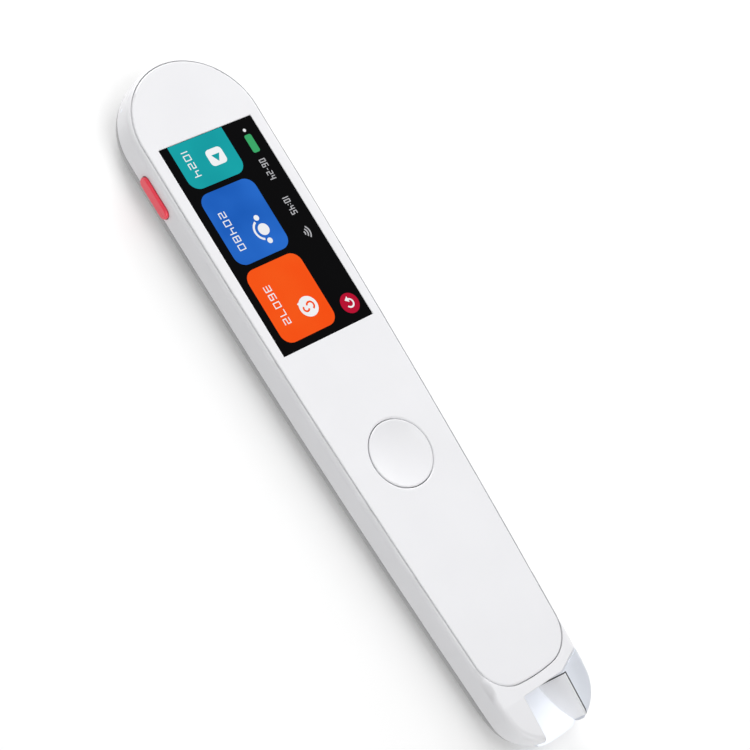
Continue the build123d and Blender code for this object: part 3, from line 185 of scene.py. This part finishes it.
def span(made, value, low, high, start=0.3, end=0.7):
    """A value mapped from start..end to low..high, and held there."""
    node = add(made, "ShaderNodeMapRange",
               {"From Min": start, "From Max": end, "To Min": low, "To Max": high})
    link(made, value, node.inputs["Value"])
    return node.outputs["Result"]


def calc(made, operation, a, b):
    """One sum on two values, each a socket or a number."""
    node = add(made, "ShaderNodeMath", operation=operation)
    for i, value in enumerate((a, b)):
        if isinstance(value, (int, float)):
            node.inputs[i].default_value = value
        else:
            link(made, value, node.inputs[i])
    return node.outputs["Value"]


def mix(made, factor, a, b):
    """Mix of two colours, each a socket or a colour.

    The node has sockets of one name for each kind of value, so its colour ones go by number.
    """
    node = add(made, "ShaderNodeMix", data_type="RGBA")
    link(made, factor, node.inputs[0])
    for i, value in ((6, a), (7, b)):
        if isinstance(value, tuple):
            node.inputs[i].default_value = (*value, 1)
        else:
            link(made, value, node.inputs[i])
    return node.outputs[2]


def scaled(color, factor):
    """A colour made darker or lighter, up to white."""
    return tuple(min(c * factor, 1) for c in color)


def edge_mask(made, rounded):
    """1 on sharp edges and 0 on flat ground, where the rounded normal is the true one."""
    dot = add(made, "ShaderNodeVectorMath", operation="DOT_PRODUCT")
    link(made, normal(made), dot.inputs[0])
    link(made, rounded, dot.inputs[1])
    return span(made, dot.outputs["Value"], 1, 0, *EDGE_SPAN)


def crevice(made):
    """1 in narrow gaps and 0 in the open."""
    node = add(made, "ShaderNodeAmbientOcclusion", {"Distance": GAP_REACH * MM},
               samples=GAP_SAMPLES)
    return span(made, node.outputs["AO"], 1, 0, *GAP_SPAN)


# Surfaces

def surface(name, values):
    """New material, and its shader with some of its own sockets set."""
    made = bpy.data.materials.new(name)
    made.use_nodes = True
    main = made.node_tree.nodes["Principled BSDF"]
    for key, value in values.items():
        main.inputs[key].default_value = value
    return made, main


def finish(name, color, roughness, vary=0.03, blotch=14.0, grain=0.15, bump=0.1, edge=0.1,
           highlight_and_wear=None, dirt_and_gap_shade=0.25, metallic=0.0, shader=None):
    """A surface with blotchy colour and roughness, fine grain, rounded edges lightened by painted
    highlight and wear, and gaps darkened by painted shade and dirt.

    roughness is the span it moves in. blotch and grain are sizes of blobs, and edge is the edges'
    radius, all in millimetres. vary, bump and the share of painted shade and dirt in gaps are
    shares.
    """
    made, main = surface(name, {"Metallic": metallic, **(shader or {})})
    rounded = add(made, "ShaderNodeBevel", {"Radius": edge * MM}, samples=BEVEL_SAMPLES)
    edges = edge_mask(made, rounded.outputs["Normal"])
    fine = noise(made, grain, FINE_DETAIL)
    broad = noise(made, blotch, BROAD_DETAIL)

    tint = mix(made, span(made, broad, 0, 1), scaled(color, 1 - vary), scaled(color, 1 + vary))
    # painted highlight with wear: rounded edges take a lighter colour
    edge_highlight_and_wear = calc(made, "MULTIPLY", edges, EDGE_HIGHLIGHT_AND_WEAR)
    tint = mix(made, edge_highlight_and_wear, tint, highlight_and_wear or scaled(color, HIGHLIGHT_AND_WEAR_GAIN))
    # painted shade with dirt: narrow gaps that the occlusion node finds take a darker colour
    dirt_and_shade_in_gaps = calc(made, "MULTIPLY", crevice(made), dirt_and_gap_shade)
    tint = mix(made, dirt_and_shade_in_gaps, tint, scaled(color, GAP_SHADE_AND_DIRT_TONE))
    link(made, tint, main.inputs["Base Color"])

    low, high = roughness
    rough = calc(made, "ADD", span(made, broad, low, high),
                 span(made, fine, -GRAIN_ROUGHNESS, GRAIN_ROUGHNESS))
    rough = calc(made, "SUBTRACT", rough, calc(made, "MULTIPLY", edges, WEAR_POLISH))
    link(made, rough, main.inputs["Roughness"])

    lift = add(made, "ShaderNodeBump", {"Strength": bump, "Distance": grain * GRAIN_DEPTH * MM})
    link(made, fine, lift.inputs["Height"])
    link(made, rounded.outputs["Normal"], lift.inputs["Normal"])
    link(made, lift.outputs["Normal"], main.inputs["Normal"])
    return made


def glow(name, color, other=None):
    """A lit area of the screen's picture, under the gloss of its glass, in fine cells."""
    made, main = surface(name, {"Emission Strength": 1.0, "Base Color": UNLIT_SCREEN,
                                "Specular IOR Level": SCREEN_SPECULAR})
    rough = span(made, noise(made, SCREEN_BLOTCH), *SCREEN_ROUGHNESS)
    link(made, rough, main.inputs["Roughness"])
    cells = add(made, "ShaderNodeTexChecker", {"Scale": 1 / (CELL_SIZE * MM)})
    link(made, place(made), cells.inputs["Vector"])
    blotches = span(made, noise(made, TINT_BLOTCH), 0, 1)
    tint = mix(made, blotches, color, other or scaled(color, TINT_FALL))
    shade = calc(made, "MULTIPLY", cells.outputs["Fac"], CELL_SHADE)
    link(made, mix(made, shade, tint, BLACK), main.inputs["Emission Color"])
    return made


def paint_glow(made, factor, color):
    """Give a material a painted glow, as strong as the factor, standing in for light that falls on
    it.
    """
    main = made.node_tree.nodes["Principled BSDF"]
    main.inputs["Emission Strength"].default_value = 1.0
    link(made, mix(made, factor, BLACK, color), main.inputs["Emission Color"])


def hood_plastic():
    """Milky plastic with a painted glow on its rear edges and the notch's floor, standing in for
    light there.
    """
    made = finish("FrostedHood", (0.76, 0.79, 0.85), (0.28, 0.38), vary=0.01, grain=0.2, bump=0.06,
                  dirt_and_gap_shade=0.1, shader={"Transmission Weight": 0.25, "IOR": 1.45, "Coat Weight": 0.3})
    facing = split(made, normal(made))
    rear = span(made, facing["X"], REAR_GLOW, 0, *REAR_NORMAL)
    height = split(made, place(made))["Z"]
    low = span(made, height, NOTCH_GLOW, 0, *(z * MM for z in NOTCH_HEIGHT))
    notch = calc(made, "MULTIPLY", low, span(made, facing["Z"], 0, 1, *NOTCH_NORMAL))
    paint_glow(made, calc(made, "ADD", rear, notch), (0.95, 0.97, 1.0))
    return made


def liner_plastic():
    """Grey plastic with a painted glow on its upright faces, standing in for light in the notch.
    """
    made = finish("GreyPlastic", (0.74, 0.74, 0.76), (0.38, 0.5), grain=0.2,
                  highlight_and_wear=(0.72, 0.72, 0.74))
    facing = split(made, normal(made))
    paint_glow(made, span(made, facing["Z"], LINER_GLOW, 0, *LINER_NORMAL), (1.0, 1.0, 1.0))
    return made


def make_materials():
    """A material for every slot of the record."""
    gloss = {"Coat Weight": 0.15, "Coat Roughness": 0.15, "IOR": 1.45}
    # Lighter edge colours below are painted highlight and wear. The gap shares are painted shade
    # and dirt.
    return {
        "white_plastic": finish(
            "WhitePlastic", (0.79, 0.79, 0.81), (0.3, 0.36), vary=0.012, grain=0.3, bump=0.05,
            edge=0.35, highlight_and_wear=(0.92, 0.92, 0.93), dirt_and_gap_shade=0.1, shader=gloss),
        "white_plastic_inner": finish("WhiteInnerPlastic", (0.74, 0.74, 0.75), (0.4, 0.55)),
        "silver_cover": finish(
            "SilverLacquer", (0.4, 0.4, 0.405), (0.36, 0.46), grain=0.09, bump=0.25, metallic=0.35,
            highlight_and_wear=(0.62, 0.62, 0.62), shader={"Coat Weight": 0.1, "Coat Roughness": 0.3}),
        "adhesive": finish("AdhesiveFilm", (0.04, 0.04, 0.045), (0.5, 0.7), grain=0.2),
        "black_glass": finish(
            "BlackGlass", (0.001, 0.001, 0.0013), (0.04, 0.09), vary=0.1, grain=2.0, bump=0.01,
            highlight_and_wear=(0.02, 0.02, 0.02), dirt_and_gap_shade=0.0, shader={"Specular IOR Level": SCREEN_SPECULAR}),
        "panel_glass": finish(
            "PanelGlass", (0.03, 0.035, 0.05), (0.08, 0.15), grain=1.0, bump=0.02),
        "steel": finish(
            "StampedSteel", (0.52, 0.52, 0.51), (0.25, 0.42), vary=0.06, grain=0.08, metallic=1.0),
        "flex": finish("PolyimideFlex", (0.42, 0.19, 0.03), (0.3, 0.45), vary=0.08, grain=0.4),
        "connector": finish("ConnectorPlastic", (0.62, 0.58, 0.48), (0.45, 0.6)),
        "rubber": finish(
            "SiliconeRubber", (0.12, 0.12, 0.125), (0.6, 0.8), vary=0.1, grain=0.12, bump=0.3),
        "red_plastic": finish(
            "RedPlastic", (0.92, 0.05, 0.085), (0.24, 0.34), vary=0.04, grain=0.25, bump=0.08,
            highlight_and_wear=(0.9, 0.16, 0.18), shader={"Coat Weight": 0.3}),
        "clear_plastic": hood_plastic(),
        "grey_plastic": liner_plastic(),
        "dark_glass": finish(
            "DarkGlass", (0.008, 0.008, 0.012), (0.06, 0.12), grain=1.0, bump=0.01),
        "board": finish(
            "SolderMask", (0.01, 0.07, 0.03), (0.3, 0.45), vary=0.25, blotch=2.0, grain=0.2),
        "chip": finish(
            "ChipResin", (0.018, 0.018, 0.02), (0.5, 0.65), vary=0.2, grain=0.08, bump=0.3),
        "black_plastic": finish("BlackPlastic", (0.02, 0.02, 0.022), (0.4, 0.55), vary=0.1),
        "lens_glass": finish(
            "LensGlass", (0.01, 0.012, 0.02), (0.02, 0.05), grain=1.5, bump=0.005),
        "led": finish("LedResin", (0.85, 0.8, 0.45), (0.25, 0.4), grain=0.1),
        "shield": finish(
            "TinnedShield", (0.62, 0.62, 0.6), (0.28, 0.45), vary=0.06, grain=0.1, metallic=1.0),
        "ceramic": finish(
            "PartCeramic", (0.42, 0.33, 0.22), (0.45, 0.6), vary=0.15, blotch=1.0, grain=0.1),
        "battery_foil": finish(
            "BatteryFoil", (0.6, 0.6, 0.62), (0.3, 0.5), vary=0.06, blotch=5.0, grain=0.6,
            bump=0.3, metallic=0.9),
        "red_lead": finish("LeadSleeve", (0.5, 0.02, 0.02), (0.4, 0.5), grain=0.2),
        "mesh": finish(
            "GrilleMesh", (0.03, 0.03, 0.03), (0.5, 0.7), vary=0.3, blotch=0.4, grain=0.1,
            bump=0.5),
        "magnet": finish("PlatedMagnet", (0.5, 0.5, 0.48), (0.2, 0.35), grain=0.1, metallic=1.0),
        "antenna_film": finish(
            "AntennaFilm", (0.5, 0.28, 0.08), (0.3, 0.45), grain=0.2, metallic=0.7),
    }


def dress_parts():
    """Give every CAD piece the material of its slot."""
    materials = make_materials()
    for part in frame["record"]["subparts"]:
        mesh = frame["nodes"][part["node"]].data
        mesh.materials.clear()
        mesh.materials.append(materials[part["material_slot"]])


# The screen's picture

class Picture:
    """Flat closed shapes on the screen's glass, in millimetres from its centre, in one mesh."""

    def __init__(self):
        self.mesh = bmesh.new()

    def shape(self, points, layer, slot):
        """Thin prism over an outline that runs anticlockwise."""
        low = glass_high.z + LAYER_STEP * layer
        rings = []
        for z in (low, low + LAYER_DEPTH):
            corners = [Vector((glass_centre.x + x, glass_centre.y + y, z)) for x, y in points]
            rings.append([self.mesh.verts.new(corner * MM) for corner in corners])
        bottom, top = rings
        faces = [self.mesh.faces.new(top), self.mesh.faces.new(bottom[::-1])]
        for i, j in zip(range(len(points)), [*range(1, len(points)), 0]):
            faces.append(self.mesh.faces.new((bottom[i], bottom[j], top[j], top[i])))
        for face in faces:
            face.material_index = slot

    def tile(self, x0, x1, y0, y1, radius, layer, slot, square=()):
        """Rectangle with rounded corners, apart from those listed as square.

        The corners count from 0, anticlockwise from x1, y1.
        """
        points = []
        for k, (cx, cy) in enumerate(((x1, y1), (x0, y1), (x0, y0), (x1, y0))):
            r = SQUARE_CORNER if k in square else radius
            ox = cx - r if k in (0, 3) else cx + r
            oy = cy - r if k in (0, 1) else cy + r
            for step in range(CORNER_STEPS + 1):
                turn = pi / 2 * (k + step / CORNER_STEPS)
                points.append((ox + r * cos(turn), oy + r * sin(turn)))
        self.shape(points, layer, slot)

    def disc(self, x, y, radius, layer, slot, steps=40):
        """Filled circle."""
        turns = [2 * pi * i / steps for i in range(steps)]
        self.shape([(x + radius * cos(t), y + radius * sin(t)) for t in turns], layer, slot)

    def arc(self, x, y, radius, width, start, end, layer, slot, steps=16):
        """Band along part of a circle, between two angles in degrees."""
        turns = [radians(start + (end - start) * i / steps) for i in range(steps + 1)]
        far, near = radius + width / 2, radius - width / 2
        outer = [(x + far * cos(t), y + far * sin(t)) for t in turns]
        inner = [(x + near * cos(t), y + near * sin(t)) for t in turns]
        self.shape(outer + inner[::-1], layer, slot)

    def digit(self, x, y, number, high, slot, aspect):
        """Seven-stroke digit with its lower left corner at x, y. Returns its width."""
        wide, t, half = high * aspect, high * STROKE, high / 2
        strokes = {
            "a": (0, wide, high - t, high), "d": (0, wide, 0, t),
            "g": (0, wide, half - t / 2, half + t / 2),
            "f": (0, t, half, high), "b": (wide - t, wide, half, high),
            "e": (0, t, 0, half), "c": (wide - t, wide, 0, half),
        }
        for key in LIT_STROKES[number]:
            x0, x1, y0, y1 = strokes[key]
            self.tile(x + x0, x + x1, y + y0, y + y1, t * STROKE_CORNER, MARK_LAYER, slot)
        return wide

    def number(self, x, y, text, high, slot, aspect=DIGIT_ASPECT):
        """Row of digits, with a colon or a dash between them."""
        for sign in text:
            if sign == ":":
                radius = high * COLON_RADIUS
                for share in COLON_DOTS:
                    self.disc(x + radius, y + high * share, radius, MARK_LAYER, slot, steps=12)
                x += 2 * radius
            elif sign == "-":
                wide = high * DASH_WIDTH
                self.tile(x, x + wide, y + high * DASH_LOW, y + high * DASH_HIGH,
                          high * DASH_CORNER, MARK_LAYER, slot)
                x += wide
            else:
                x += self.digit(x, y, int(sign), high, slot, aspect)
            x += high * DIGIT_GAP * aspect

    def finished(self, name, slots):
        """The scene's object, with a material for each slot."""
        data = bpy.data.meshes.new(name)
        self.mesh.to_mesh(data)
        self.mesh.free()
        for material in slots:
            data.materials.append(material)
        made = bpy.data.objects.new(name, data)
        scene.collection.objects.link(made)
        return made


def screen_picture():
    """Three tiles with icons and digits, and a strip with battery, date, clock and signs."""
    white, teal, blue, orange, green, red, grey = range(7)
    slots = [
        glow("PictureWhite", (0.92, 0.93, 0.95)),
        glow("PictureTeal", (0.004, 0.34, 0.37), (0.006, 0.40, 0.42)),
        glow("PictureBlue", (0.006, 0.10, 0.48), (0.018, 0.15, 0.62)),
        glow("PictureOrange", (0.95, 0.075, 0.002), (0.95, 0.10, 0.006)),
        glow("PictureGreen", (0.045, 0.42, 0.15)),
        glow("PictureRed", (0.5, 0.002, 0.03)),
        glow("PictureGrey", (0.5, 0.5, 0.52)),
    ]
    pic = Picture()

    # x0, x1, y0, y1, colour, square corners, start of the digits, digits
    tiles = (
        (-23.0, -13.0, -9.5, 4.0, teal, (1, 2), -22.1, "1024"),
        (-11.8, 4.1, -9.6, 3.8, blue, (), -7.3, "20480"),
        (5.3, 21.4, -9.8, 3.8, orange, (), 9.3, "36072"),
    )
    for *sides, color, square, start, digits in tiles:
        pic.tile(*sides, TILE_CORNER, TILE_LAYER, color, square)
        pic.number(start, LABEL_Y, digits, LABEL_HEIGHT, white, LABEL_ASPECT)

    # teal: a rounded square with a triangle
    pic.tile(-19.7, -16.1, -2.6, 1.3, 0.9, MARK_LAYER, white)
    pic.shape([(-18.4, -1.6), (-16.8, -0.6), (-18.4, 0.4)], INLAY_LAYER, teal)
    # blue: a disc on a cradle between two dots
    pic.disc(*DISC_CENTRE, 1.25, MARK_LAYER, white)
    pic.arc(*DISC_CENTRE, 2.1, 0.45, 205, 335, MARK_LAYER, white)
    pic.disc(-3.6, -0.2, 0.6, MARK_LAYER, white, steps=20)
    pic.disc(1.5, -0.2, 0.6, MARK_LAYER, white, steps=20)
    # orange: a round speech bubble with a loop
    pic.disc(*BUBBLE_CENTRE, 2.15, MARK_LAYER, white)
    pic.shape([(14.3, -0.6), (15.0, -2.7), (16.1, -2.3)], MARK_LAYER, white)
    pic.arc(16.3, -0.1, 0.8, 0.4, 20, 250, INLAY_LAYER, orange)
    pic.arc(16.5, -1.3, 0.6, 0.4, -140, 70, INLAY_LAYER, orange)

    # strip: dot, battery, date, clock, waves, and a round sign with a turning arrow
    pic.disc(-20.6, 8.4, 0.35, MARK_LAYER, white, steps=16)
    pic.tile(-19.6, -15.6, STRIP_Y, 9.2, 0.45, MARK_LAYER, green)
    pic.number(-14.0, STRIP_Y, "06-24", STRIP_HEIGHT, grey)
    pic.number(-5.7, STRIP_Y, "10:45", STRIP_HEIGHT, grey)
    for radius in (0.5, 1.1, 1.7):
        pic.arc(*WAVES_CENTRE, radius, 0.28, 45, 135, MARK_LAYER, grey, steps=10)
    pic.disc(*SIGN_CENTRE, 2.15, MARK_LAYER, red)
    pic.arc(*SIGN_CENTRE, 0.85, 0.36, -60, 180, INLAY_LAYER, white)
    pic.shape([(17.7, 8.3), (18.35, 7.4), (19.0, 8.3)], INLAY_LAYER, white)

    made = pic.finished("Screen_Picture", slots)
    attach(made, "casing")


# Floor, light and camera

def floor():
    """Plain pale floor."""
    mesh = bpy.data.meshes.new("Floor")
    h = FLOOR_HALF_SIZE
    mesh.from_pydata([(-h, -h, 0), (h, -h, 0), (h, h, 0), (-h, h, 0)], [], [(0, 1, 2, 3)])
    made = bpy.data.objects.new("Floor", mesh)
    made.location.z = -FLOOR_DROP
    scene.collection.objects.link(made)
    paper = finish(
        "FloorPaper", (0.75, 0.75, 0.75), (0.7, 0.8), vary=0.002, blotch=60, dirt_and_gap_shade=0,
        shader={"Emission Color": (1, 1, 1, 1), "Emission Strength": FLOOR_GLOW})
    mesh.materials.append(paper)


def area_light(name, spot, target, size, power):
    """Square soft light that looks at a point."""
    data = bpy.data.lights.new(name, "AREA")
    data.size = size
    data.energy = power
    made = bpy.data.objects.new(name, data)
    made.location = spot
    made.rotation_euler = (Vector(target) - Vector(spot)).to_track_quat("-Z", "Y").to_euler()
    scene.collection.objects.link(made)


def camera():
    """Camera at the photograph's place."""
    data = bpy.data.cameras.new("Camera")
    data.sensor_width = SENSOR_WIDTH
    data.lens = FOCAL_PIXELS / PICTURE_PIXELS * SENSOR_WIDTH
    data.clip_start = CLIP_START
    data.clip_end = CLIP_END
    made = bpy.data.objects.new("Camera", data)
    right, down, ahead = Vector(CAMERA_RIGHT), Vector(CAMERA_DOWN), Vector(CAMERA_AHEAD)
    origin = Vector(ORIGIN_SEEN) * MM
    spot = -(right * origin.x + down * origin.y + ahead * origin.z)
    axes = Matrix((right, -down, -ahead)).transposed()
    made.matrix_world = Matrix.Translation(spot) @ axes.to_4x4()
    scene.collection.objects.link(made)
    scene.camera = made


def surroundings():
    """Even white light from all around."""
    world = bpy.data.worlds.new("World")
    world.use_nodes = True
    background = world.node_tree.nodes["Background"]
    background.inputs["Color"].default_value = (1, 1, 1, 1)
    background.inputs["Strength"].default_value = WORLD_STRENGTH
    scene.world = world


dress_parts()
screen_picture()
floor()
for light in LIGHTS:
    area_light(*light)
camera()
surroundings()
